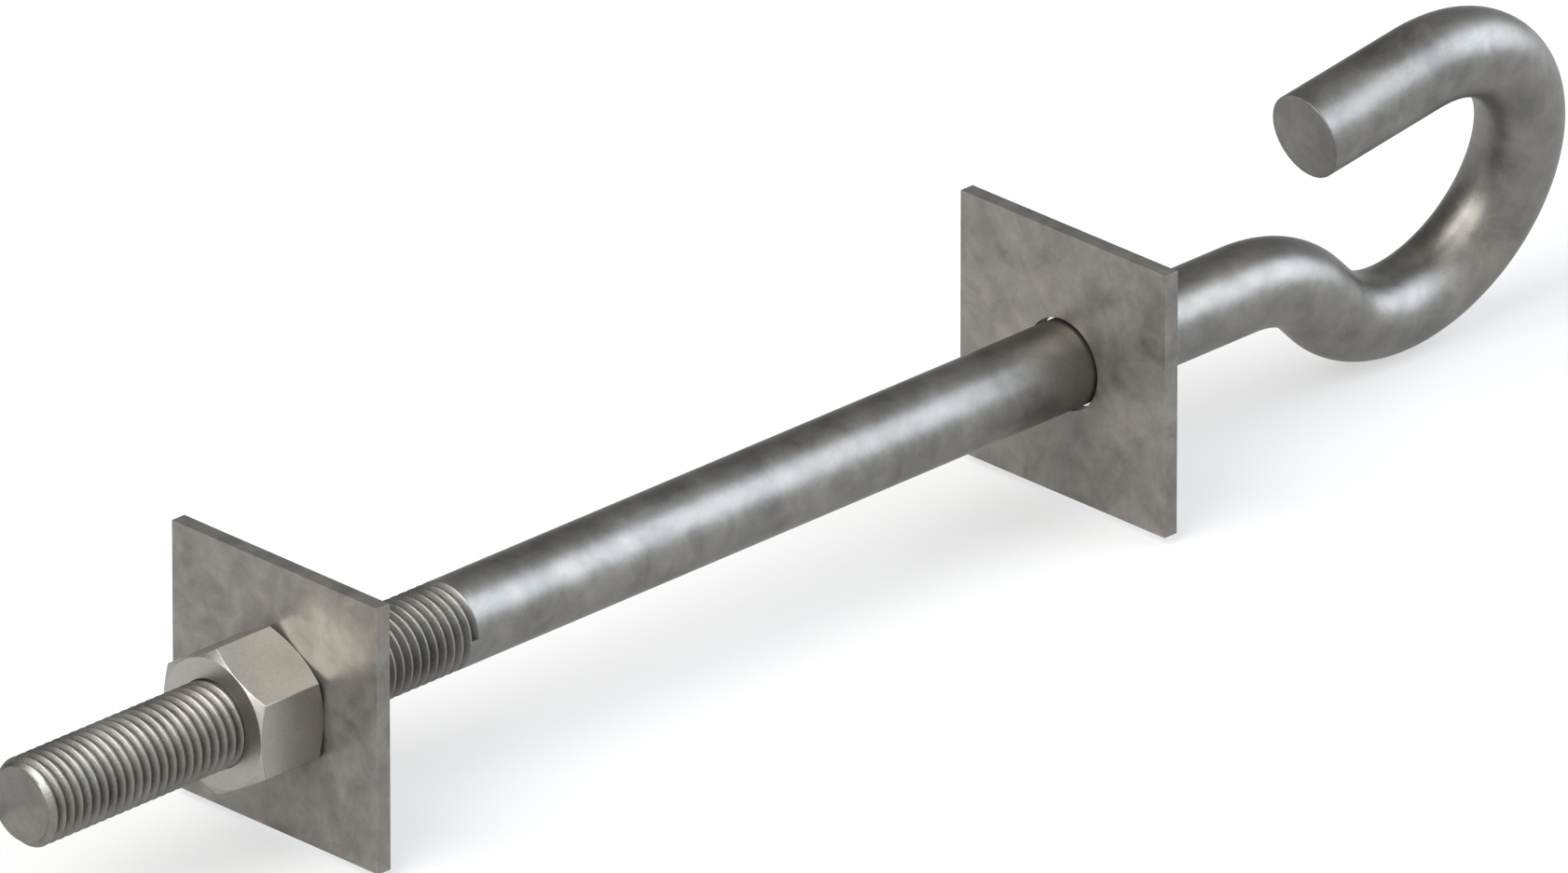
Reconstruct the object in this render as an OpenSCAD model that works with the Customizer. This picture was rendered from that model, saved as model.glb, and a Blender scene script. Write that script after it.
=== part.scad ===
// Hook bolt: a round bar, threaded at one end and bent into an open hook at the other.
// It carries two loose square plates, which clamp what the bar passes through, and a hexagon nut.
// The bar lies along X. The thread's end face is at the origin, the hook is at +X, and Z is up.
// The thread is drawn as a plain cylinder of its pitch diameter, on the bar and in the nut.

/* [Bar] */
// Diameter of the bar, and of the thread over its crests
bar_d = 16; // [14:0.5:18]
// Length from the thread's end face to the first bend
straight_len = 293.2; // [270:0.1:400]
// Length of the thread from its end face
thread_len = 100; // [80:1:140]
// Pitch of the thread
thread_pitch = 2; // [1.5:0.25:2.5]
// Chamfer at the thread's end, at 45 degrees
end_chamfer = 1.2; // [0.5:0.1:2]

/* [Hook] */
// Angle by which the hook leans over from upright, towards -Y
hook_lean = 12.2; // [0:0.1:20]
// Radius of the neck bend, on the bar's centre line
neck_r = 27.8; // [22:0.1:40]
// Angle by which the neck bends down
neck_angle = 43.8; // [30:0.1:60]
// Straight length between the neck bend and the eye
neck_len = 5.5; // [2:0.5:15]
// Inside diameter of the eye
eye_d = 36.7; // [30:0.1:60]
// Angle of bar that goes round the eye
eye_angle = 234; // [200:1:250]
// Straight length from the eye to the cut tip
tip_len = 27; // [10:0.5:35]
// How much fatter the bar's radius is where it is bent
bend_swell = 0.05; // [0.03:0.01:0.2]

/* [Plates] */
// Side of each square plate
plate_side = 50; // [40:1:80]
// Thickness of each plate
plate_t = 3; // [2:0.5:6]
// Play all round the bar in a plate's hole
plate_play = 0.5; // [0.3:0.05:1.5]
// Distance from the thread's end face to the outer plate
outer_plate_x = 60; // [40:0.5:75]
// Distance from the thread's end face to the inner plate
inner_plate_x = 250; // [150:0.5:260]

/* [Nut] */
// Width of the nut across its flats
nut_af = 24; // [22:0.5:30]
// Height of the nut
nut_h = 14.8; // [12:0.1:18]
// How far the flat ring on each face of the nut stays inside its flats
nut_ring_inset = 0.1; // [0:0.05:1]
// Slope of the chamfer on the nut's corners
nut_chamfer_slope = 30; // [15:1:35]
// Play all round the thread's crests at each mouth of the nut
nut_mouth_play = 0.5; // [0.2:0.1:1]
// Play all round between the bar's thread and the nut's
thread_play = 0.05; // [0.02:0.01:0.09]

/* [Hidden] */
$fn = 96;

bar_r = bar_d / 2;
eye_r = (eye_d + bar_d) / 2;

// A straight piece of bar reaches this far into the bends beside it, where the swell covers it
bend_lap = 0.1;

// A 60 degree thread's sharp triangle is pitch * cos(30) high, and its pitch line lies 3/8 of that
// below the crests
thread_pitch_r = bar_r - thread_pitch * cos(30) * 3 / 8;
thread_end_r = min(bar_r - end_chamfer, thread_pitch_r);

plate_hole_r = bar_r + plate_play;

nut_bore_r = thread_pitch_r + thread_play;
nut_mouth_r = bar_r + nut_mouth_play;
nut_mouth_depth = nut_mouth_r - nut_bore_r;
nut_corner_r = nut_af / 2 / cos(30);
nut_ring_r = nut_af / 2 - nut_ring_inset;
nut_chamfer_h = (nut_corner_r - nut_ring_r) * tan(nut_chamfer_slope);

// Lays a shape that stands on the origin along +Z down along +X
module along_x() {
    rotate([0, 90, 0]) children();
}

// Straight bar along +X, which starts inside the bend that ends at the origin
module bar(length) {
    translate([-bend_lap, 0, 0]) along_x() cylinder(r = bar_r, h = bend_lap + length);
}

// An arc of bar in the XY plane round the origin, counter-clockwise through turn from the angle start
module arc(r, start, turn) {
    rotate(start) rotate_extrude(angle = turn) translate([r, 0]) circle(r = bar_r + bend_swell);
}

// Bar that leaves the origin along +X and bends to the left. What follows starts at its end.
module bend_left(r, turn) {
    translate([0, r, 0]) {
        arc(r, -90, turn);
        rotate(turn) translate([0, -r, 0]) children();
    }
}

// The same bend to the right
module bend_right(r, turn) {
    translate([0, -r, 0]) {
        arc(r, 90 - turn, turn);
        rotate(-turn) translate([0, r, 0]) children();
    }
}

// The straight part of the bar: chamfered end, thread, run-out shoulder and plain shank
module shank() {
    along_x() rotate_extrude() polygon([
        [0, 0],
        [thread_end_r, 0],
        [thread_pitch_r, thread_pitch_r - thread_end_r],
        [thread_pitch_r, thread_len],
        [bar_r, thread_len],
        [bar_r, straight_len + bend_lap],
        [0, straight_len + bend_lap]
    ]);
}

// The neck, the eye and the tip, drawn flat in the XY plane from the origin
module hook() {
    bend_right(neck_r, neck_angle) {
        bar(neck_len + bend_lap);
        translate([neck_len, 0, 0]) bend_left(eye_r, eye_angle) bar(tip_len);
    }
}

module hook_bolt() {
    color([0.50, 0.50, 0.48]) {
        shank();
        translate([straight_len, 0, 0]) rotate([90 + hook_lean, 0, 0]) hook();
    }
}

// A square plate with a round hole, its near face at x
module plate(x) {
    translate([x, 0, 0]) difference() {
        translate([0, -plate_side / 2, -plate_side / 2]) cube([plate_t, plate_side, plate_side]);
        translate([-plate_t, 0, 0]) along_x() cylinder(r = plate_hole_r, h = 3 * plate_t);
    }
}

module outer_plate() {
    color([0.47, 0.46, 0.44]) plate(outer_plate_x);
}

module inner_plate() {
    color([0.47, 0.46, 0.44]) plate(inner_plate_x);
}

// The turned blank that gives the nut its faces and the chamfer on its corners
module nut_blank() {
    rotate_extrude() polygon([
        [0, 0],
        [nut_ring_r, 0],
        [nut_corner_r, nut_chamfer_h],
        [nut_corner_r, nut_h - nut_chamfer_h],
        [nut_ring_r, nut_h],
        [0, nut_h]
    ]);
}

// What is cut from the nut: its bore and a countersink at each mouth, which run on past its faces
module nut_bore() {
    rotate_extrude() polygon([
        [0, -nut_mouth_depth],
        [nut_mouth_r + nut_mouth_depth, -nut_mouth_depth],
        [nut_bore_r, nut_mouth_depth],
        [nut_bore_r, nut_h - nut_mouth_depth],
        [nut_mouth_r + nut_mouth_depth, nut_h + nut_mouth_depth],
        [0, nut_h + nut_mouth_depth]
    ]);
}

// The nut has a corner at the top, and lies against the outer plate
module hex_nut() {
    color([0.58, 0.57, 0.54]) translate([outer_plate_x - nut_h, 0, 0]) along_x() difference() {
        intersection() {
            cylinder(r = nut_corner_r, h = nut_h, $fn = 6);
            nut_blank();
        }
        nut_bore();
    }
}

hook_bolt();
outer_plate();
inner_plate();
hex_nut();
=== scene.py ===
"""Looks of a galvanised hook bolt, its two square clamp plates and its hexagon nut.

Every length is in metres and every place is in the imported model's frame: the bar lies along +X from the thread's
end face at the origin, the hook is at +X, and +Z is up. Angles round the bar start at the near side, -Y, and run
on to -Z, which is the right-hand way about +X.
"""

import logging
import math
from dataclasses import dataclass, field
from enum import Enum

import bmesh
import bpy
import numpy as np
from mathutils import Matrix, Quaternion, Vector


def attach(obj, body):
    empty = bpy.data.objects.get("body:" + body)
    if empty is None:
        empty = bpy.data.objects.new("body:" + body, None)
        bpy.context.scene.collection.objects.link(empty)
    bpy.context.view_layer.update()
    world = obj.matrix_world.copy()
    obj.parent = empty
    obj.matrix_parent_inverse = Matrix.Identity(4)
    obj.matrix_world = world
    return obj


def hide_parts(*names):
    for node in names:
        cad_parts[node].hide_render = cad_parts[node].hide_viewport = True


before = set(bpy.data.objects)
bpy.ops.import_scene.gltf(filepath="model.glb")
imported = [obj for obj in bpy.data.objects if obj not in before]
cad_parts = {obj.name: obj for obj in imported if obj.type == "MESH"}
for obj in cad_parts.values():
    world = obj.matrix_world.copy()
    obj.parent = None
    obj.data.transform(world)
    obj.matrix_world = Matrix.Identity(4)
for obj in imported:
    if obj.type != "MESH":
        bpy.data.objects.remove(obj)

LOG = logging.getLogger("hook_bolt")
MM = 0.001
MERGE_DISTANCE = 1e-7
SHARP_ANGLE = math.radians(50)
FLOOR_MERGE_DISTANCE = 1e-6

Socket = bpy.types.NodeSocket
Colour = tuple[float, float, float]


class Coating(Enum):
    """The record's material slots, one for each finish of the zinc coat."""

    BAR = "bar_zinc"
    PLATE = "plate_zinc"
    NUT = "nut_zinc"


class Body(Enum):
    """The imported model's moving bodies."""

    BOLT = "bolt"
    OUTER_PLATE = "outer_plate"
    INNER_PLATE = "inner_plate"
    NUT = "nut"


# ---------------------------------------------------------------- meshes


def round_directions(angles: np.ndarray) -> np.ndarray:
    """Unit vectors round the bar: d(a) = (0, -cos a, -sin a).

    Args:
        angles: Angles from the near side, in radians.

    Returns:
        One direction per angle, shape (n, 3).
    """
    return np.stack([np.zeros_like(angles), -np.cos(angles), -np.sin(angles)], axis=-1)


def rings_along_bar(x: np.ndarray, radius: np.ndarray, angles: np.ndarray) -> np.ndarray:
    """Places of a surface round the bar's axis: p = (x, 0, 0) + r d(a).

    Args:
        x: Distance along the bar, broadcast over (rows, columns).
        radius: Distance from the axis, broadcast over (rows, columns).
        angles: Angle of each column, in radians.

    Returns:
        Points, shape (rows, columns, 3).
    """
    x, radius = np.broadcast_arrays(np.atleast_2d(x), np.atleast_2d(radius))
    x, radius = np.broadcast_arrays(x, radius + 0 * angles[None, :])
    points = radius[..., None] * round_directions(angles)[None, :, :]
    points[..., 0] += x
    return points


def grid_quads(rows: int, columns: int, first: int = 0) -> np.ndarray:
    """Quads of a grid of points that is numbered row by row.

    Args:
        rows: Number of rows of points.
        columns: Number of points in a row.
        first: Number of the grid's first point.

    Returns:
        Faces, shape ((rows - 1) * (columns - 1), 4).
    """
    corner = (np.arange(rows - 1)[:, None] * columns + np.arange(columns - 1)[None, :] + first).ravel()
    return np.stack([corner, corner + 1, corner + columns + 1, corner + columns], axis=1)


def seam_quads(rows: int, columns: int, step: int) -> np.ndarray:
    """Quads that join a grid's last column to its first, where the thread has moved on by some rows in one turn.

    Args:
        rows: Number of rows of points that take part.
        columns: Number of points in a row.
        step: Rows in one turn of the thread, so that last column of row i meets first column of row i + step.

    Returns:
        Faces, shape (rows - step - 1, 4). Those without area vanish when the points are merged.
    """
    row = np.arange(rows - step - 1)
    last, start = row * columns + columns - 1, (row + step) * columns
    return np.stack([last, start, start + columns, last + columns], axis=1)


def make_piece(name: str, points: np.ndarray, quads: np.ndarray, marks: dict[str, np.ndarray]) -> bpy.types.Object:
    """Makes a closed, smooth mesh object whose faces point outwards.

    Args:
        name: Name of the object.
        points: Points, any shape that ends in 3.
        quads: Faces as point numbers, shape (n, 4).
        marks: Named values from 0 to 1, one per point, which the material reads.

    Returns:
        The object, at the origin, with its place in its mesh.
    """
    mesh = bpy.data.meshes.new(name)
    mesh.from_pydata(points.reshape(-1, 3), [], quads.tolist())
    for mark, values in marks.items():
        layer = mesh.attributes.new(mark, "FLOAT", "POINT")
        layer.data.foreach_set("value", np.ascontiguousarray(values, np.float32).ravel())
    work = bmesh.new()
    work.from_mesh(mesh)
    bmesh.ops.remove_doubles(work, verts=work.verts, dist=MERGE_DISTANCE)
    bmesh.ops.recalc_face_normals(work, faces=work.faces)
    if work.calc_volume(signed=True) < 0:
        bmesh.ops.reverse_faces(work, faces=work.faces)
    open_edges = sum(1 for edge in work.edges if not edge.is_manifold)
    work.to_mesh(mesh)
    work.free()
    mesh.polygons.foreach_set("use_smooth", np.ones(len(mesh.polygons), bool))
    mesh.set_sharp_from_angle(angle=SHARP_ANGLE)
    mesh.update()
    piece = bpy.data.objects.new(name, mesh)
    bpy.context.scene.collection.objects.link(piece)
    LOG.info("%s: %d faces, %d open edges", name, len(mesh.polygons), open_edges)
    return piece


# ---------------------------------------------------------------- threads


@dataclass(frozen=True)
class Thread:
    """A right-hand screw thread along the bar, as one radius for each place.

    The groove's centre line is x = anchor_x + pitch a / (2 pi), where a is the angle from the near side. The profile
    gives the radius over the distance from that line, half a pitch each way.
    """

    pitch: float
    anchor_x: float
    offsets: tuple[float, ...]
    radii: tuple[float, ...]

    def offset(self, x: np.ndarray, angle: np.ndarray) -> np.ndarray:
        """Distance along the bar from the nearest groove's centre: |((s + p/2) mod p) - p/2|.

        Args:
            x: Distance along the bar.
            angle: Angle from the near side, in radians.

        Returns:
            Distances from 0 to half a pitch.
        """
        along = x - self.anchor_x - self.pitch * angle / (2 * math.pi)
        return np.abs((along + self.pitch / 2) % self.pitch - self.pitch / 2)

    def radius(self, x: np.ndarray, angle: np.ndarray) -> np.ndarray:
        """Radius of the thread, by linear steps between the profile's points.

        Args:
            x: Distance along the bar.
            angle: Angle from the near side, in radians.

        Returns:
            Radii, in metres.
        """
        return np.interp(self.offset(x, angle), self.offsets, self.radii)

    def rows(self, start: float, end: float) -> tuple[np.ndarray, int]:
        """Rows of a grid that follows the thread, at the profile's own points.

        Args:
            start: First place at angle 0.
            end: Last place at angle 0. Both are whole pitches from anchor_x.

        Returns:
            The rows' places at angle 0, and the number of rows in a pitch.
        """
        half = np.array(self.offsets)
        one = np.concatenate([half, (self.pitch - half[-2:0:-1])])
        turns = round((end - start) / self.pitch)
        places = (start + self.pitch * np.arange(turns)[:, None] + one[None, :]).ravel()
        return np.append(places, start + self.pitch * turns), len(one)


def vee_profile(crest_r: float, root_r: float, mouth: float, gap: float, corner: float) -> tuple[tuple, tuple]:
    """Half the profile of a 60 degree thread, with its corners eased: w(r) = mouth / 2 + gap - (crest - r) tan 30.

    Args:
        crest_r: Radius at which the groove is as wide as mouth.
        root_r: Radius of the groove's floor.
        mouth: Width of the groove at crest_r.
        gap: How far each flank stands back.
        corner: Size of the eased corners.

    Returns:
        Distances from the groove's centre, and the radius at each.
    """
    slope = math.tan(math.radians(30))
    ease = corner * slope

    def width(radius: float) -> float:
        """Half width of the groove at a radius."""
        return mouth / 2 + gap - (crest_r - radius) * slope

    foot, head = root_r + corner, crest_r - corner
    steps = [
        (0.0, root_r),
        (max(width(root_r) - 0.4 * corner, 0.02 * MM), root_r + 0.08 * corner),
        (width(foot) - 0.3 * ease, root_r + 0.5 * corner),
        (width(foot) + 0.2 * ease, foot + 0.2 * corner),
        (width(head) - 0.6 * ease, head - 0.6 * corner),
        (width(head), head),
        (width(crest_r) + 0.1 * corner, crest_r - 0.12 * corner),
        (width(crest_r) + 0.7 * corner, crest_r),
    ]
    return tuple(place for place, _ in steps), tuple(radius for _, radius in steps)


# ---------------------------------------------------------------- finishes


class Nodes:
    """A short hand for building one material's nodes."""

    def __init__(self, tree: bpy.types.NodeTree) -> None:
        """Keeps the tree that nodes are added to."""
        self.tree = tree

    def add(self, kind: str, **settings: object) -> bpy.types.Node:
        """Adds a node.

        Args:
            kind: Blender's name of the node type.
            settings: Properties of the node, or inputs where the name starts with in_ and a number or word.

        Returns:
            The node.
        """
        node = self.tree.nodes.new(kind)
        for key, value in settings.items():
            if key.startswith("in_"):
                label = key[3:].replace("_", " ")
                socket = node.inputs[int(label)] if label.isdigit() else node.inputs[label]
                if isinstance(value, Socket):
                    self.tree.links.new(value, socket)
                else:
                    socket.default_value = value
            else:
                setattr(node, key, value)
        return node

    def noise(self, where: Socket, scale: float, detail: float, rough: float, twist: float) -> Socket:
        """Adds a noise over the object's own coordinates.

        Args:
            where: The coordinates.
            scale: Waves to the metre.
            detail: Number of finer layers.
            rough: Strength of each finer layer against the one before.
            twist: How far the pattern is pulled about.

        Returns:
            The noise's value, from 0 to 1.
        """
        node = self.add("ShaderNodeTexNoise", in_Vector=where, in_Scale=scale, in_Detail=detail, in_Roughness=rough)
        node.inputs["Distortion"].default_value = twist
        return node.outputs["Fac"]

    def spread(self, value: Socket, low: float, high: float, to_low: float, to_high: float) -> Socket:
        """Maps a value from one range to another, held at both ends.

        Args:
            value: The value to map.
            low: The value that becomes to_low.
            high: The value that becomes to_high.
            to_low: Result at low and under it.
            to_high: Result at high and over it.

        Returns:
            The mapped value.
        """
        node = self.add("ShaderNodeMapRange", in_Value=value)
        for label, number in (("From Min", low), ("From Max", high), ("To Min", to_low), ("To Max", to_high)):
            node.inputs[label].default_value = number
        return node.outputs["Result"]

    def math(self, kind: str, first: Socket | float, second: Socket | float) -> Socket:
        """Adds a sum, product or other step on two values.

        Args:
            kind: Blender's name of the step.
            first: A socket or a number.
            second: A socket or a number.

        Returns:
            The step's result.
        """
        return self.add("ShaderNodeMath", operation=kind, in_0=first, in_1=second).outputs[0]

    def scaled(self, colour: Socket, factor: Socket) -> Socket:
        """Makes a colour lighter or darker by a factor.

        Args:
            colour: The colour.
            factor: What each of its parts is multiplied by.

        Returns:
            The scaled colour.
        """
        return self.add("ShaderNodeVectorMath", operation="SCALE", in_0=colour, in_Scale=factor).outputs[0]

    def mark(self, name: str) -> Socket:
        """Reads one of the values that the mesh keeps for each point, which is 0 where the mesh has none.

        Args:
            name: Name of the mark.

        Returns:
            The mark's value.
        """
        return self.add("ShaderNodeAttribute", attribute_name=name).outputs["Fac"]

    def mix(self, share: Socket, first: Socket | tuple, second: Socket | tuple) -> Socket:
        """Mixes two colours.

        Args:
            share: Share of the second colour.
            first: A socket, or a colour with its alpha.
            second: A socket, or a colour with its alpha.

        Returns:
            The mixed colour.
        """
        node = self.add("ShaderNodeMix", data_type="RGBA")
        for socket, value in zip((node.inputs[0], node.inputs[6], node.inputs[7]), (share, first, second)):
            if isinstance(value, Socket):
                self.tree.links.new(value, socket)
            else:
                socket.default_value = value
        return node.outputs[2]


def blank_material(name: str) -> tuple[bpy.types.Material, Nodes]:
    """Makes a material that has no nodes yet.

    Args:
        name: Name of the material.

    Returns:
        The material, and the short hand for building its nodes.
    """
    material = bpy.data.materials.new(name)
    material.use_nodes = True
    material.node_tree.nodes.clear()
    return material, Nodes(material.node_tree)


# The range in which a noise's values mostly lie: for patches, for grain, for the tint and for wear
PATCH_RANGE = (0.36, 0.64)
GRAIN_RANGE = (0.3, 0.7)
TINT_RANGE = (0.42, 0.62)
WEAR_RANGE = (0.40, 0.60)

CLOUD_SHARE, PATCH_SHARE = 0.55, 0.45
TINT_WAVES = 0.55
MOST_WARM = 0.8
LEAST_WEAR = 0.25
WEAR_SHARE = 0.2
WEAR_LIGHT = 1.15
# Values of the painted shade mark between which the colour falls from plain to the finish's painted shade tone
PAINTED_SHADE_RANGE = (0.1, 1.0)
GRAIN_ROUGHNESS = 0.025
GROOVE_ROUGHNESS = 0.05
GLANCING_TINT = (0.8, 0.8, 0.8, 1.0)


@dataclass(frozen=True)
class ZincFinish:
    """A zinc coat: soft cloudy patches, a fine grain, worn edges, and painted shade where the mesh marks grooves,
    holes, rims and chamfers.

    Attributes:
        name: Name of the material.
        slot: The record's slot for this finish. Not used.
        dark: Linear colour of the dark patches.
        light: Linear colour of the light patches.
        warm: Linear colour of the light patches where the tint is warm.
        roughness: Roughness of the dark patches and of the light ones.
        cloud: Width of a large patch.
        patch: Width of a small patch.
        grain: Width of a grain.
        grain_height: Height of a grain.
        speck: How far a grain lightens or darkens the colour.
        ripple: Width of a ripple in the coat.
        ripple_height: Height of a ripple.
        painted_shade_tone: Factor on the colour where the painted shade mark is 1, which paints shade there.
        rugged: How much stronger the grain is where the rugged mark is 1.
        metallic: Share of bare metal, where the rest is dull.
        drift: How far the patterns are moved.
    """

    name: str
    slot: Coating
    dark: Colour
    light: Colour
    warm: Colour
    roughness: tuple[float, float]
    cloud: float = 12 * MM
    patch: float = 5 * MM
    grain: float = 0.36 * MM
    grain_height: float = 0.023 * MM
    speck: float = 0.07
    ripple: float = 3.0 * MM
    ripple_height: float = 0.0007 * MM
    painted_shade_tone: float = 0.95
    rugged: float = 0.6
    metallic: float = 1.0
    drift: tuple[float, float, float] = (0.0, 0.0, 0.0)

    def colour(self, make: Nodes, cloudy: Socket, patch: Socket, tint: Socket, speck: Socket) -> Socket:
        """Colours the coat, from its patches, tint, specks and worn edges, and paints shade where the painted shade
        mark is set.

        Args:
            make: The material's nodes.
            cloudy: The large and small patches together.
            patch: The small patches alone, which break up the wear.
            tint: Where the coat is warm.
            speck: Factor that the grain puts on the colour.

        Returns:
            The base colour.
        """
        share = make.spread(cloudy, *PATCH_RANGE, 0.0, 1.0)
        plain = make.mix(share, (*self.dark, 1.0), (*self.light, 1.0))
        warm = make.mix(share, (*self.dark, 1.0), (*self.warm, 1.0))
        colour = make.mix(make.spread(tint, *TINT_RANGE, 0.0, MOST_WARM), plain, warm)
        colour = make.scaled(colour, speck)
        # Painted shade: the colour grows darker towards the painted shade tone where the painted shade mark is set, in
        # grooves, holes, rims and chamfers
        colour = make.scaled(colour, make.spread(make.mark("painted_shade"), *PAINTED_SHADE_RANGE, 1.0, self.painted_shade_tone))
        worn = make.math("MULTIPLY", make.mark("edge"), make.spread(patch, *WEAR_RANGE, LEAST_WEAR, 1.0))
        bright = (*(WEAR_LIGHT * part for part in self.light), 1.0)
        return make.mix(make.math("MULTIPLY", worn, WEAR_SHARE), colour, bright)

    def build(self) -> bpy.types.Material:
        """Builds the material.

        Returns:
            The material, whose patterns all read the object's own coordinates and its marks.
        """
        material, make = blank_material(self.name)
        where = make.add("ShaderNodeTexCoord").outputs["Object"]
        where = make.add("ShaderNodeVectorMath", operation="ADD", in_0=where, in_1=self.drift).outputs[0]
        cloud = make.noise(where, 1 / self.cloud, detail=3.0, rough=0.55, twist=0.9)
        patch = make.noise(where, 1 / self.patch, detail=4.0, rough=0.6, twist=0.5)
        tint = make.noise(where, TINT_WAVES / self.cloud, detail=2.0, rough=0.5, twist=0.4)
        grain = make.noise(where, 1 / self.grain, detail=2.0, rough=0.6, twist=0.0)
        ripple = make.noise(where, 1 / self.ripple, detail=2.0, rough=0.5, twist=0.3)
        cloud_part = make.math("MULTIPLY", cloud, CLOUD_SHARE)
        cloudy = make.math("ADD", cloud_part, make.math("MULTIPLY", patch, PATCH_SHARE))

        rugged = make.spread(make.mark("rugged"), 0.0, 1.0, 1.0, 1 + self.rugged)
        speck = make.math("MULTIPLY", make.spread(grain, *GRAIN_RANGE, -self.speck, self.speck), rugged)
        colour = self.colour(make, cloudy, patch, tint, make.math("ADD", speck, 1.0))

        rough = make.spread(cloudy, *PATCH_RANGE, *self.roughness)
        rough = make.math("ADD", rough, make.spread(grain, *GRAIN_RANGE, -GRAIN_ROUGHNESS, GRAIN_ROUGHNESS))
        rough = make.math("ADD", rough, make.math("MULTIPLY", make.mark("painted_shade"), GROOVE_ROUGHNESS))

        waves = make.add("ShaderNodeBump", in_Strength=1.0, in_Distance=self.ripple_height, in_Height=ripple)
        depth = make.math("MULTIPLY", rugged, self.grain_height)
        grains = make.add("ShaderNodeBump", in_Strength=1.0, in_Distance=depth, in_Height=grain)
        make.tree.links.new(waves.outputs[0], grains.inputs["Normal"])

        shader = make.add("ShaderNodeBsdfPrincipled", in_Metallic=self.metallic, in_Roughness=rough)
        shader.inputs["Specular Tint"].default_value = GLANCING_TINT
        make.tree.links.new(colour, shader.inputs["Base Color"])
        make.tree.links.new(grains.outputs[0], shader.inputs["Normal"])
        make.add("ShaderNodeOutputMaterial", in_Surface=shader.outputs[0])
        return material

    def dress(self, piece: bpy.types.Object) -> None:
        """Puts the finish on a piece.

        Args:
            piece: The piece to dress.
        """
        piece.data.materials.clear()
        piece.data.materials.append(self.build())


# ---------------------------------------------------------------- the hook bolt


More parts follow.
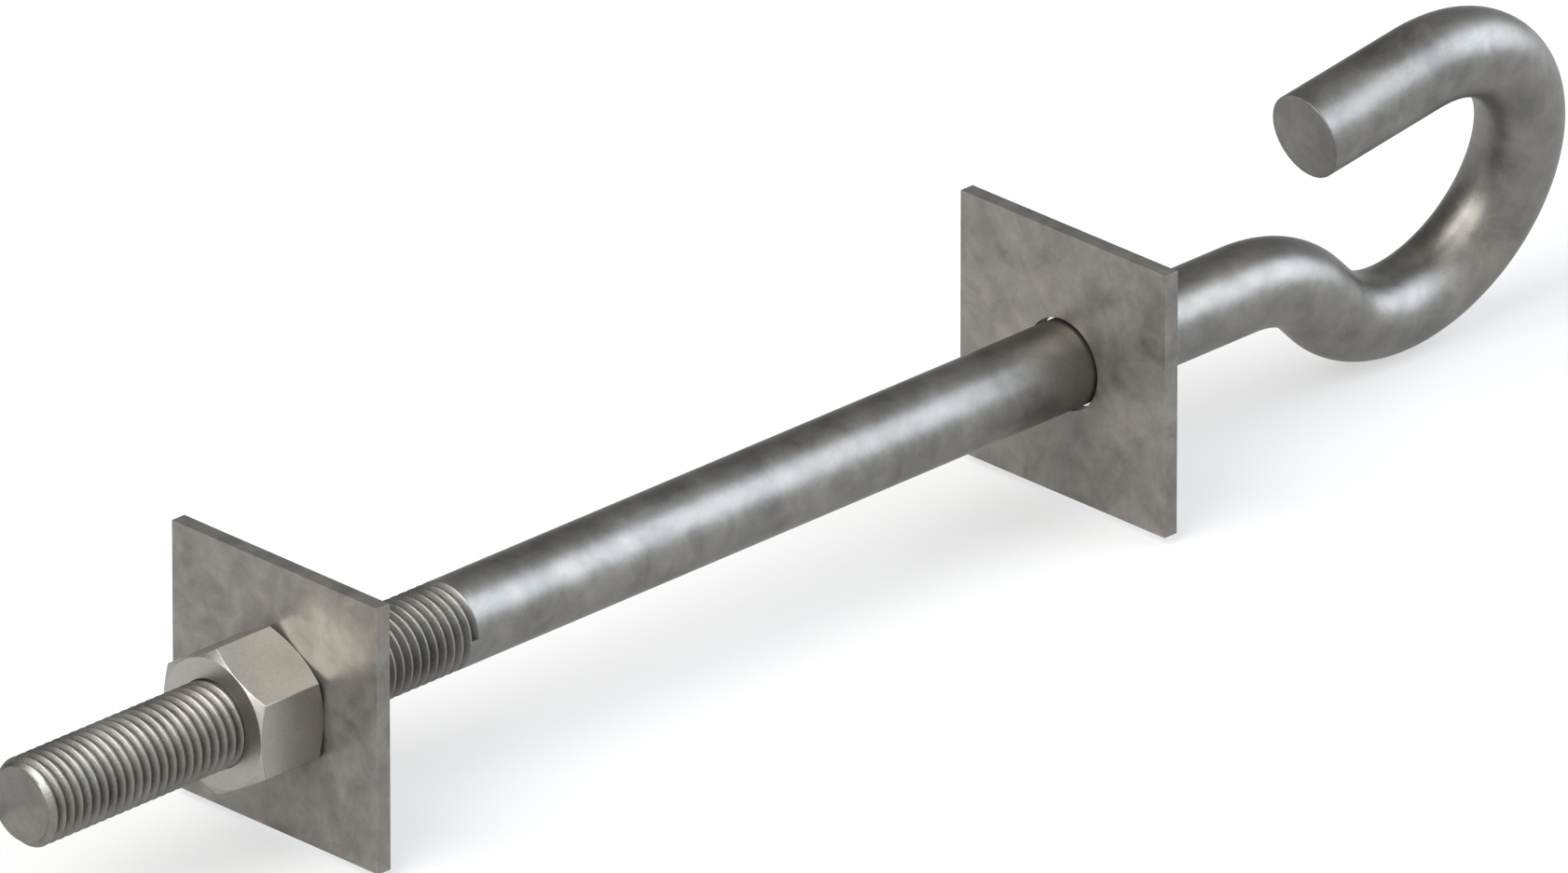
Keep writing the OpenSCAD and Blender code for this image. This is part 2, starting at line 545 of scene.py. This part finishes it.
@dataclass
class HookBolt:
    """The round bar: its threaded end, plain shank, neck bend, open eye and cut tip.

    Attributes:
        bar_r: Radius of the bar, and of the thread's crests.
        root_r: Radius of the thread's roots.
        pitch: Pitch of the thread.
        thread_corner: Size of the thread's eased corners.
        thread_end: Where the run-out is.
        face_r: Radius of the end face, inside its 45 degree chamfer.
        straight: Length up to the neck bend.
        lean: Angle by which the hook leans over from upright, towards -Y.
        neck_r: Radius of the neck bend, on the centre line.
        neck_angle: Angle by which the neck bends down.
        neck_straight: Straight length between neck and eye.
        eye_r: Radius of the eye, on the centre line.
        eye_angle: Angle of bar that goes round the eye.
        tip: Straight length from the eye to the cut tip.
        tip_ease: Size of the eased edge round the tip's face.
        tip_margin: Length before the tip's face on which its edge is modelled.
        wear_reach: How far along the bar the end's rim is worn.
        wear_r: Radius outside which the end's rim is worn.
        columns: Number of faces round the bar.
        bend_step: Largest angle of bend between two rings.
        bar_step: Largest distance between two rings.
        thread: The thread, worked out from the rest.
    """

    bar_r: float = 8 * MM
    root_r: float = 6.773 * MM
    pitch: float = 2 * MM
    thread_corner: float = 0.15 * MM
    thread_end: float = 100 * MM
    face_r: float = 6.8 * MM
    straight: float = 293.2 * MM
    lean: float = math.radians(12.2)
    neck_r: float = 27.8 * MM
    neck_angle: float = math.radians(43.8)
    neck_straight: float = 5.5 * MM
    eye_r: float = 26.35 * MM
    eye_angle: float = math.radians(234)
    tip: float = 27 * MM
    tip_ease: float = 0.06 * MM
    tip_margin: float = 0.5 * MM
    wear_reach: float = 0.9 * MM
    wear_r: float = 6.5 * MM
    columns: int = 84
    bend_step: float = math.radians(2.0)
    bar_step: float = 6 * MM
    thread: Thread = field(init=False)

    def __post_init__(self) -> None:
        """Works out the thread, whose last groove ends one pitch round from the run-out."""
        offsets, radii = vee_profile(self.bar_r, self.root_r, self.pitch * 7 / 8, 0.0, self.thread_corner)
        self.thread = Thread(self.pitch, self.thread_end - self.pitch, (*offsets, self.pitch / 2), (*radii, self.bar_r))

    @property
    def join(self) -> float:
        """Where the threaded grid gives way to the plain bar, past the whole run-out."""
        return self.thread_end + 1.5 * self.pitch

    def thread_grid(self, angles: np.ndarray) -> tuple[np.ndarray, np.ndarray, int]:
        """The threaded end, as a grid whose rows follow the groove.

        A row's place is x(a) = t + pitch a / (2 pi), held between the end face and the join with the shank. The radius
        is the thread's, but no more than face_r + x, which is the end's 45 degree chamfer, and the full bar past the
        last groove.

        Args:
            angles: Angle of each column, in radians, from 0 to a full turn.

        Returns:
            Points (rows, columns, 3), the groove's depth from 0 to 1, and the rows in a pitch.
        """
        turns_before = round(self.thread.anchor_x / self.pitch) + 1
        first = self.thread.anchor_x - turns_before * self.pitch
        rows, step = self.thread.rows(first, self.thread_end + 2 * self.pitch)
        angles_row = angles[None, :]
        advance = self.pitch * angles_row / (2 * math.pi)
        x = np.clip(rows[:, None] + advance, 0.0, self.join)
        past_last_groove = x - advance > self.thread.anchor_x + self.pitch / 2
        radius = np.where(past_last_groove, self.bar_r, self.thread.radius(x, angles_row))
        # The groove's depth, from 0 at the crests to 1 at the roots, is the painted shade mark: painted shade in the
        # thread's roots
        painted_shade = (self.bar_r - radius) / (self.bar_r - self.root_r)
        radius = np.minimum(radius, self.face_r + x)
        return rings_along_bar(x, radius, angles), painted_shade, step

    def path(self) -> tuple[np.ndarray, np.ndarray]:
        """Centre line of the bar from the thread's join to the tip, in the hook's own plane.

        Straight lengths and arcs follow each other: on an arc of radius R the heading h grows by ds / R.

        Returns:
            Distances along X and across it (n, 2), and the heading at each (n,).
        """
        places, headings = [], []
        at, heading = np.array([self.join, 0.0]), 0.0

        def run_straight(length: float) -> None:
            """Adds a straight length.

            Args:
                length: How long it is.
            """
            nonlocal at
            part = np.linspace(0.0, length, max(2, math.ceil(length / self.bar_step) + 1))[1:, None]
            places.append(at + part * np.array([math.cos(heading), math.sin(heading)]))
            headings.append(np.full(len(part), heading))
            at = places[-1][-1]

        def run_bend(radius: float, turn: float) -> None:
            """Adds an arc.

            Args:
                radius: Radius of the centre line.
                turn: Angle of the bend, positive to the left.
            """
            nonlocal at, heading
            sign = math.copysign(1.0, turn)
            part = heading + np.linspace(0.0, turn, math.ceil(abs(turn) / self.bend_step) + 1)[1:]
            centre = at + sign * radius * np.array([-math.sin(heading), math.cos(heading)])
            places.append(centre + sign * radius * np.stack([np.sin(part), -np.cos(part)], axis=1))
            headings.append(part)
            at, heading = places[-1][-1], part[-1]

        run_straight(self.straight - at[0])
        run_bend(self.neck_r, -self.neck_angle)
        run_straight(self.neck_straight)
        run_bend(self.eye_r, self.eye_angle)
        run_straight(self.tip - self.tip_margin)
        return np.concatenate(places), np.concatenate(headings)

    def bar_grid(self, angles: np.ndarray) -> np.ndarray:
        """The shank, neck, eye and tip: circles carried along the centre line.

        p = c(s) + r (u N(s) + v B), where N is the path's left normal in the hook's plane, B is square to the plane,
        and u and v are the parts of the column's direction along them where the bar is straight.

        Args:
            angles: Angle of each column, in radians, from 0 to a full turn.

        Returns:
            Points (rows, columns, 3), the last rows closing the tip's flat face.
        """
        flat, heading = self.path()
        up = np.array([0.0, -math.sin(self.lean), math.cos(self.lean)])
        across = np.cross([1.0, 0.0, 0.0], up)
        ease, ahead = self.tip_ease, np.array([math.cos(heading[-1]), math.sin(heading[-1])])
        last = self.tip_margin - ease * np.array([1.0, 0.3, 0.0, 0.0, 0.0, 0.0])
        tip_radii = [self.bar_r - 0.3 * ease, self.bar_r - ease, self.bar_r - 3 * ease, self.bar_r / 2, 0.0]
        flat = np.concatenate([flat, flat[-1] + last[:, None] * ahead])
        heading = np.concatenate([heading, np.full(len(last), heading[-1])])
        radius = np.full(len(flat), self.bar_r)
        radius[-len(tip_radii) :] = tip_radii
        normal = -np.sin(heading)[:, None] * np.array([1.0, 0.0, 0.0]) + np.cos(heading)[:, None] * up
        centre = flat[:, :1] * np.array([1.0, 0.0, 0.0]) + flat[:, 1:] * up
        around = round_directions(angles)
        part_up, part_across = around @ up, around @ across
        offset = part_up[None, :, None] * normal[:, None, :] + part_across[None, :, None] * across
        return centre[:, None, :] + radius[:, None, None] * offset

    def build(self) -> bpy.types.Object:
        """Builds the bar as one closed piece, worn round its end face: wear = exp(-(x / wear_reach)^2).

        Returns:
            The piece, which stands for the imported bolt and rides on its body.
        """
        angles = np.linspace(0.0, 2 * math.pi, self.columns + 1)
        thread, painted_shade, step = self.thread_grid(angles)
        face = self.face_r * np.array([0.0, 0.5, 0.97])[:, None]
        face_rows = rings_along_bar(np.zeros_like(face), face, angles)
        points = np.concatenate([face_rows, thread, self.bar_grid(angles)])
        depth = np.zeros(points.shape[:2])
        depth[len(face) : len(face) + len(thread)] = painted_shade
        rows, columns = points.shape[:2]
        quads = grid_quads(rows, columns)
        seam = seam_quads(len(thread), columns, step) + len(face) * columns
        x, from_axis = points[..., 0], np.hypot(points[..., 1], points[..., 2])
        edge = np.exp(-((x / self.wear_reach) ** 2)) * (from_axis > self.wear_r)
        # Marks: painted shade in the thread's roots, the worn rim of the end face, and a stronger grain on the thread
        marks = {"painted_shade": depth, "edge": edge, "rugged": (x > 0) * (x < self.thread_end)}
        piece = make_piece("hook_bolt_bar", points, np.concatenate([quads, seam]), marks)
        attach(piece, Body.BOLT.value)
        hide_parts("hook_bolt")
        return piece


# ---------------------------------------------------------------- pieces with a round hole and a straight outline


FLAT_SPAN = 0.9
FLAT_END = 0.985


@dataclass(frozen=True)
class Outline:
    """A regular outline round the bar, with eased corners.

    Attributes:
        sides: Number of sides.
        across_flats: Distance between two opposite sides.
        first_corner: Angle of the first corner, in radians.
        corner_r: Radius of the eased corners.
        flat_points: Number of points over the FLAT_SPAN of a side. One more stands at FLAT_END, each way.
        corner_points: Number of points in a corner.
    """

    sides: int
    across_flats: float
    first_corner: float
    corner_r: float
    flat_points: int
    corner_points: int

    def points(self) -> tuple[np.ndarray, np.ndarray]:
        """Distances and angles of the outline's points, from angle 0 through a full turn.

        Each side is a straight line at across_flats / 2 from the centre, and each corner an arc of corner_r whose
        centre stands corner_r inside both sides.

        Returns:
            Distance from the axis and angle from the near side for each column, the last closing the turn.
        """
        half = self.across_flats / 2
        turn = 2 * math.pi / self.sides
        centre_r = (half - self.corner_r) / math.cos(turn / 2)
        arc = np.linspace(-turn / 2, turn / 2, self.corner_points)
        corner = np.stack([centre_r + self.corner_r * np.cos(arc), self.corner_r * np.sin(arc)], axis=1)
        reach = half * math.tan(turn / 2) - self.corner_r * math.tan(turn / 2)
        spot = reach * np.concatenate([[-FLAT_END], np.linspace(-FLAT_SPAN, FLAT_SPAN, self.flat_points), [FLAT_END]])
        side = np.stack([np.full(len(spot), half), spot], axis=1)

        def turned(part: np.ndarray, by: float) -> np.ndarray:
            """A part of the outline turned about the axis."""
            c, s = math.cos(by), math.sin(by)
            return part @ np.array([[c, s], [-s, c]])

        parts = []
        for k in range(self.sides):
            parts.append(turned(corner, self.first_corner + k * turn))
            parts.append(turned(side, self.first_corner + (k + 0.5) * turn))
        ring = np.concatenate(parts)
        angle = np.arctan2(ring[:, 1], ring[:, 0]) % (2 * math.pi)
        order = np.argsort(angle)
        ring_r, angle = np.hypot(ring[:, 0], ring[:, 1])[order], angle[order]
        return np.append(ring_r, ring_r[0]), np.append(angle, angle[0] + 2 * math.pi)


# Painted shade marks of a plate's rim, of the nut's bore, and of the nut's rings over each chamfer to its outer edge
RIM_SHADE = 0.25
BORE_SHADE = 0.6
CHAMFER_RINGS = slice(6, 11)
CHAMFER_SHADE = (0.2, 0.2, 0.2, 0.8, 0.9)


@dataclass
class ClampPlate:
    """A square plate with a round hole.

    Attributes:
        name: Name of the piece.
        node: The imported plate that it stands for.
        body: The body that it rides on.
        x: Where its near face is.
        side: Length of a side.
        thickness: Thickness of the plate.
        hole_r: Radius of the hole.
        ease: Size of the eased edges.
        corner_r: Radius of the outline's corners.
    """

    name: str
    node: str
    body: Body
    x: float
    side: float = 50 * MM
    thickness: float = 3 * MM
    hole_r: float = 8.5 * MM
    ease: float = 0.035 * MM
    corner_r: float = 0.04 * MM

    def build(self) -> bpy.types.Object:
        """Builds the plate as rings that run from the hole, over one face, the rim and the other face, and back.

        A ring at share f lies at p(a) = (1 - f) hole + f outline(a). The last ring is the first, so the plate closes.
        An inset from the square's outline grows with its distance from the axis, by 1 / max(|cos a|, |sin a|).

        Returns:
            The piece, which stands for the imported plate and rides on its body.
        """
        reach, angles = Outline(4, self.side, math.radians(45), self.corner_r, flat_points=13, corner_points=4).points()
        ease, deep = self.ease, self.thickness
        hole = np.full_like(reach, self.hole_r)
        inset = 1 / np.maximum(np.abs(np.cos(angles)), np.abs(np.sin(angles)))
        half = [
            (hole, deep / 2), (hole, 2.5 * ease), (hole, ease), (hole + ease, 0.0), (hole + 3 * ease, 0.0),
            (0.7 * hole + 0.3 * reach, 0.0), (0.35 * hole + 0.65 * reach, 0.0),
            (reach - 3 * ease * inset, 0.0), (reach - ease * inset, 0.0), (reach, ease), (reach, 2.5 * ease),
            (reach, deep / 2),
        ]
        rows = half + [(r, deep - x) for r, x in reversed(half[:-1])]
        radius = np.array([r for r, _ in rows])
        depth = np.array([x for _, x in rows])[:, None]
        points = rings_along_bar(np.broadcast_to(depth + self.x, radius.shape), radius, angles)
        at_rim = np.abs(radius - reach) < 1.2 * ease * inset
        at_face = np.abs(np.abs(depth - deep / 2) - deep / 2) < 1.2 * ease
        # Painted shade: full in the hole's wall, a little on the rim
        shade = np.where(radius == self.hole_r, 1.0, np.where(radius == reach, RIM_SHADE, 0.0))
        marks = {"painted_shade": shade, "edge": at_rim & at_face}
        piece = make_piece(self.name, points, grid_quads(*radius.shape), marks)
        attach(piece, self.body.value)
        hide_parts(self.node)
        return piece


@dataclass
class HexNut:
    """The hexagon nut, chamfered on both faces, with a countersunk right-hand thread.

    Attributes:
        x: Where its near face is.
        height: Distance between its faces.
        across_flats: Width across its flats.
        corner_r: Radius of the outline's corners.
        ring_r: Radius of the flat ring on each face.
        slope: Slope of the chamfer outside that ring.
        mouth_r: Radius of the bore at each face.
        minor_r: Radius of the thread's crests.
        bar_r: Radius of the bolt that it fits.
        pitch: Pitch of the thread.
        play: How far the thread stands back from the bolt's.
        thread_corner: Size of the thread's eased corners.
        groove_x: Where the centre line of a groove is at angle 0.
        bore_span: Places at angle 0 between which the thread is worked out.
        ease: Size of the eased edges.
    """

    x: float = 45.2 * MM
    height: float = 14.8 * MM
    across_flats: float = 24 * MM
    corner_r: float = 0.25 * MM
    ring_r: float = 11.9 * MM
    slope: float = math.tan(math.radians(30))
    mouth_r: float = 8.07 * MM
    minor_r: float = 6.93 * MM
    bar_r: float = 8 * MM
    pitch: float = 2 * MM
    play: float = 0.03 * MM
    thread_corner: float = 0.08 * MM
    groove_x: float = 44 * MM
    bore_span: tuple[float, float] = (42 * MM, 62 * MM)
    ease: float = 0.06 * MM

    def outer_rows(self, reach: np.ndarray) -> list[tuple[np.ndarray, np.ndarray]]:
        """Rings over the nut's outside, from one mouth to the other.

        Outside the flat ring, a face falls back as the cone h = (r - ring_r) tan 30, up to the outline's own radius.

        Args:
            reach: The outline's distance from the axis at each column.

        Returns:
            Pairs of radius and depth from the near face, one per ring.
        """
        ease, half = self.ease, self.height / 2
        flat = np.zeros_like(reach)
        span = reach - self.ring_r
        fall = span * self.slope
        near = [
            (flat + self.mouth_r, flat), (flat + self.mouth_r + ease, flat), (flat + self.mouth_r + 3 * ease, flat),
            (flat + 0.5 * (self.mouth_r + self.ring_r), flat), (flat + self.ring_r - 2 * ease, flat),
            (flat + self.ring_r - 0.4 * ease, flat), (self.ring_r + 0.06 * span, 0.06 * fall),
            (self.ring_r + 0.14 * span, 0.14 * fall), (self.ring_r + 0.86 * span, 0.86 * fall),
            (self.ring_r + 0.97 * span, 0.97 * fall), (reach, fall + 0.5 * ease), (reach, fall + 2 * ease),
            (reach, 0.5 * (fall + 2 * ease + half)),
        ]
        return near + [(r, self.height - d) for r, d in reversed(near)]

    def build(self) -> bpy.types.Object:
        """Builds the nut: the outside rings, then the thread's rows back through the bore.

        The bore's radius is the thread's, but at least mouth_r less the depth from either face, which countersinks it.

        Returns:
            The piece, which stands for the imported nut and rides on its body.
        """
        hexagon = Outline(6, self.across_flats, math.radians(30), self.corner_r, flat_points=9, corner_points=5)
        reach, angles = hexagon.points()
        rows = self.outer_rows(reach)
        radius = np.array([r for r, _ in rows])
        x = np.array([d for _, d in rows]) + self.x
        outside = rings_along_bar(x, radius, angles)

        bolt_r = self.bar_r + self.play
        offsets, radii = vee_profile(bolt_r, self.minor_r, self.pitch * 7 / 8, self.play, self.thread_corner)
        thread = Thread(self.pitch, self.groove_x, (*offsets, self.pitch / 2), (*radii, bolt_r))
        places, step = thread.rows(*self.bore_span)
        end = self.x + self.height
        bore_x = np.clip(places[:, None] + self.pitch * angles[None, :] / (2 * math.pi), self.x, end)
        from_face = np.minimum(bore_x - self.x, end - bore_x)
        bore_r = np.maximum(thread.radius(bore_x, angles[None, :]), self.mouth_r - from_face)
        bore = rings_along_bar(bore_x, bore_r, angles)

        points = np.concatenate([bore, outside[::-1]])
        rows_in_all, columns = points.shape[:2]
        ring = np.stack([np.arange(columns - 1), np.arange(1, columns)], axis=1)
        closing = np.concatenate([ring[:, ::-1], ring + (rows_in_all - 1) * columns], axis=1)
        seam = seam_quads(len(bore), columns, step)
        quads = np.concatenate([grid_quads(rows_in_all, columns), closing, seam])
        # Painted shade: in the bore, and over each chamfer and its outer edge, where it dims the chamfers' highlights
        painted_shade = np.zeros(points.shape[:2])
        painted_shade[: len(bore)] = BORE_SHADE
        half = np.zeros(len(rows) // 2)
        half[CHAMFER_RINGS] = CHAMFER_SHADE
        painted_shade[len(bore) :] = np.append(half, half[::-1])[:, None]
        piece = make_piece("hex_nut_body", points, quads, {"painted_shade": painted_shade})
        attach(piece, Body.NUT.value)
        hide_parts("hex_nut")
        return piece


# ---------------------------------------------------------------- studio


@dataclass(frozen=True)
class SoftBox:
    """A large soft lamp, placed by the direction in which the object sees it.

    Attributes:
        name: Name of the lamp.
        azimuth: Direction about +Z from +X, in degrees.
        elevation: Direction above the horizon, in degrees.
        width: Width of the lamp.
        height: Height of the lamp.
        radiance: How bright it looks.
        colour: Colour of its light.
        roll: Turn about the line to the object, in degrees.
        distance: Distance from the object.
    """

    name: str
    azimuth: float
    elevation: float
    width: float
    height: float
    radiance: float
    colour: Colour
    roll: float = 0.0
    distance: float = 3.0

    def build(self, aim: Vector) -> bpy.types.Object:
        """Makes the lamp: power = 4 x radiance x area, so that it looks as bright as its radiance.

        Args:
            aim: The place that it faces.

        Returns:
            The lamp.
        """
        lamp = bpy.data.lights.new(self.name, "AREA")
        lamp.shape, lamp.size, lamp.size_y = "RECTANGLE", self.width, self.height
        lamp.energy = 4 * self.radiance * self.width * self.height
        lamp.color = self.colour
        a, e = math.radians(self.azimuth), math.radians(self.elevation)
        toward = Vector((math.cos(a) * math.cos(e), math.sin(a) * math.cos(e), math.sin(e)))
        box = bpy.data.objects.new(self.name, lamp)
        box.location = aim + toward * self.distance
        turn = Quaternion((0.0, 0.0, 1.0), math.radians(self.roll))
        box.rotation_euler = (toward.to_track_quat("Z", "Y") @ turn).to_euler()
        box.visible_camera = False
        bpy.context.scene.collection.objects.link(box)
        return box


# Heights of the room's directions between which its brightness changes, as sines
ROOM_FADE = (0.1, 0.95)
ROOM_COLOUR = (1.0, 1.0, 0.99, 1.0)
CAMERA_SENSOR = 36.0
CAMERA_CLIP = (0.1, 60.0)


@dataclass
class Studio:
    """A pale floor, a pale room, two soft lamps, a dark card behind the object, and the camera.

    Attributes:
        centre: The place that the camera and the lamps face.
        floor_z: Height of the floor.
        floor_r: Radius of the floor.
        floor_grid: Number of points from the floor's middle outwards, and round it.
        floor_colour: Linear colour of the floor.
        floor_glow: How much lighter the camera and reflections see the floor.
        lens: Focal length of the camera, in millimetres.
        distance: Distance of the camera.
        azimuth: Direction of the camera about +Z from -Y, in radians.
        elevation: Direction of the camera above the horizon, in radians.
        card_azimuths: Directions in degrees at which the card's tones are given, from one end to the other.
        card_tones: Brightness of the card at each.
        card_top: Elevation of the card's upper edge, in degrees.
        card_r: Distance of the card from the object.
        card_grid: Number of points up the card and along it.
        card_tint: Colour of the card.
        horizon: Brightness of the room at the horizon.
        zenith: Brightness of the room overhead.
    """

    centre: Vector = field(default_factory=lambda: Vector((0.18261, 0.000557, 0.008256)))
    floor_z: float = -26.7 * MM
    floor_r: float = 7.0
    floor_grid: tuple[int, int] = (12, 73)
    floor_colour: Colour = (0.23, 0.23, 0.229)
    floor_glow: float = 0.56
    lens: float = 930.0
    distance: float = 6.9631
    azimuth: float = math.radians(-44.821)
    elevation: float = math.radians(25.145)
    card_azimuths: tuple[float, ...] = (17.0, 45.0, 95.0, 148.0)
    card_tones: tuple[float, ...] = (0.50, 0.31, 0.19, 0.16)
    card_top: float = 68.0
    card_r: float = 2.6
    card_grid: tuple[int, int] = (21, 41)
    card_tint: Colour = (1.0, 0.985, 0.95)
    horizon: float = 1.0
    zenith: float = 0.5

    def build_floor(self) -> bpy.types.Object:
        """Makes the floor: a disc of rings r(k) = floor_r (k / n)^2 about the object's centre.

        Returns:
            The floor.
        """
        rows, columns = self.floor_grid
        radius = self.floor_r * np.linspace(0.0, 1.0, rows)[:, None] ** 2
        angle = np.linspace(0.0, 2 * math.pi, columns)
        across, along = radius * np.cos(angle), radius * np.sin(angle)
        points = np.stack([self.centre.x + across, self.centre.y + along, np.full_like(across, self.floor_z)], axis=-1)
        mesh = bpy.data.meshes.new("floor")
        mesh.from_pydata(points.reshape(-1, 3), [], grid_quads(rows, columns).tolist())
        work = bmesh.new()
        work.from_mesh(mesh)
        bmesh.ops.remove_doubles(work, verts=work.verts, dist=FLOOR_MERGE_DISTANCE)
        work.to_mesh(mesh)
        work.free()
        floor = bpy.data.objects.new("floor", mesh)
        bpy.context.scene.collection.objects.link(floor)

        material, make = blank_material("pale_floor")
        rays = make.add("ShaderNodeLightPath").outputs
        mirrored = make.math("MAXIMUM", rays["Is Glossy Ray"], rays["Is Transmission Ray"])
        seen = make.math("MAXIMUM", rays["Is Camera Ray"], mirrored)
        glow = make.add("ShaderNodeEmission", in_Strength=make.math("MULTIPLY", seen, self.floor_glow))
        paint = make.add("ShaderNodeBsdfDiffuse", in_Color=(*self.floor_colour, 1.0))
        both = make.add("ShaderNodeAddShader", in_0=paint.outputs[0], in_1=glow.outputs[0])
        make.add("ShaderNodeOutputMaterial", in_Surface=both.outputs[0])
        mesh.materials.append(material)
        return floor

    def build_card(self) -> bpy.types.Object:
        """Makes the dark card, a curved sheet behind the object that only its reflections see.

        The sheet is p(a, e) = c + R (cos a cos e, sin a cos e, sin e), where c is the centre brought down to z = 0.
        Each point's tone is read from card_tones by its azimuth, and gives the card's brightness there.

        Returns:
            The card.
        """
        rows, columns = self.card_grid
        degrees = np.linspace(self.card_azimuths[0], self.card_azimuths[-1], columns)
        azimuth = np.radians(degrees)[None, :]
        elevation = np.radians(np.linspace(0.0, self.card_top, rows))[:, None]
        points = np.stack(
            [
                self.centre.x + self.card_r * np.cos(azimuth) * np.cos(elevation),
                self.centre.y + self.card_r * np.sin(azimuth) * np.cos(elevation),
                self.card_r * np.sin(elevation) + 0 * azimuth,
            ],
            axis=-1,
        )
        mesh = bpy.data.meshes.new("dark_card")
        mesh.from_pydata(points.reshape(-1, 3), [], grid_quads(rows, columns).tolist())
        tone = np.interp(degrees, self.card_azimuths, self.card_tones) + 0 * elevation
        layer = mesh.attributes.new("tone", "FLOAT", "POINT")
        layer.data.foreach_set("value", tone.astype(np.float32).ravel())
        card = bpy.data.objects.new("dark_card", mesh)
        bpy.context.scene.collection.objects.link(card)

        material, make = blank_material("dark_card")
        glow = make.add("ShaderNodeEmission", in_Color=(*self.card_tint, 1.0), in_Strength=make.mark("tone"))
        make.add("ShaderNodeOutputMaterial", in_Surface=glow.outputs[0])
        mesh.materials.append(material)
        card.visible_camera = card.visible_diffuse = card.visible_shadow = False
        return card

    def build_world(self) -> None:
        """Makes the pale room: its brightness falls from horizon to zenith with the sine of the height."""
        world = bpy.data.worlds.new("pale_room")
        world.use_nodes = True
        bpy.context.scene.world = world
        world.node_tree.nodes.clear()
        make = Nodes(world.node_tree)
        place = make.add("ShaderNodeTexCoord").outputs["Generated"]
        height = make.add("ShaderNodeSeparateXYZ", in_0=place).outputs["Z"]
        level = make.spread(height, *ROOM_FADE, self.horizon, self.zenith)
        back = make.add("ShaderNodeBackground", in_Color=ROOM_COLOUR, in_Strength=level)
        make.add("ShaderNodeOutputWorld", in_Surface=back.outputs[0])

    def build_lamps(self) -> None:
        """Makes the two soft lamps, a cool one to the right and a plain one to the left."""
        SoftBox(
            "right_soft_box", azimuth=-31.0, elevation=26.0, width=2.3, height=3.9, radiance=4.1,
            colour=(0.80, 0.87, 0.99), roll=50.0,
        ).build(self.centre)
        SoftBox(
            "left_soft_box", azimuth=-175.5, elevation=43.5, width=2.3, height=2.7, radiance=7.4,
            colour=(1.0, 0.995, 0.98),
        ).build(self.centre)

    def build_camera(self) -> bpy.types.Object:
        """Makes the camera, a very long lens at the photograph's viewing angle.

        Returns:
            The camera, set as the scene's.
        """
        data = bpy.data.cameras.new("camera")
        data.lens, data.sensor_width = self.lens, CAMERA_SENSOR
        data.clip_start, data.clip_end = CAMERA_CLIP
        a, e = self.azimuth, self.elevation
        back = Vector((math.sin(a) * math.cos(e), -math.cos(a) * math.cos(e), math.sin(e)))
        camera = bpy.data.objects.new("camera", data)
        camera.location = self.centre + back * self.distance
        camera.rotation_mode = "QUATERNION"
        camera.rotation_quaternion = (-back).to_track_quat("-Z", "Y")
        bpy.context.scene.collection.objects.link(camera)
        bpy.context.scene.camera = camera
        return camera


BAR_ZINC = ZincFinish(
    "zinc_on_bar", Coating.BAR, dark=(0.140, 0.137, 0.129), light=(0.228, 0.2235, 0.2105), warm=(0.234, 0.221, 0.199),
    roughness=(0.40, 0.45),
)
# The plates' painted shade tone darkens their holes' walls to about a third, and their rims a little
PLATE_ZINC = ZincFinish(
    "zinc_on_plate", Coating.PLATE, dark=(0.148, 0.142, 0.133), light=(0.240, 0.231, 0.215), warm=(0.262, 0.241, 0.212),
    roughness=(0.36, 0.43), cloud=10 * MM, patch=4 * MM, grain_height=0.005 * MM, painted_shade_tone=0.35,
    metallic=0.8, drift=(124 * MM, 198 * MM, 43 * MM),
)
# The nut's painted shade tone sets how dark its bore and chamfers are painted
NUT_ZINC = ZincFinish(
    "zinc_on_nut", Coating.NUT, dark=(0.360, 0.348, 0.322), light=(0.390, 0.377, 0.349), warm=(0.394, 0.376, 0.340),
    roughness=(0.36, 0.40), grain=0.26 * MM, grain_height=0.014 * MM, speck=0.14,
    ripple_height=0.001 * MM, painted_shade_tone=0.5,
)


def main() -> None:
    """Builds the studio, then each piece in order, dresses it and reports it."""
    logging.basicConfig(level=logging.INFO, format="%(name)s: %(message)s")
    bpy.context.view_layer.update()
    scene = bpy.context.scene
    scene.view_settings.view_transform = "Standard"

    studio = Studio()
    studio.build_floor()
    studio.build_card()
    studio.build_world()
    studio.build_lamps()
    studio.build_camera()
    LOG.info("studio ready")

    BAR_ZINC.dress(HookBolt().build())
    for plate in (
        ClampPlate("outer_clamp_plate", "outer_plate", Body.OUTER_PLATE, x=60 * MM),
        ClampPlate("inner_clamp_plate", "inner_plate", Body.INNER_PLATE, x=250 * MM),
    ):
        PLATE_ZINC.dress(plate.build())
    NUT_ZINC.dress(HexNut().build())

    LOG.info("all pieces ready")


if __name__ == "__main__":
    main()
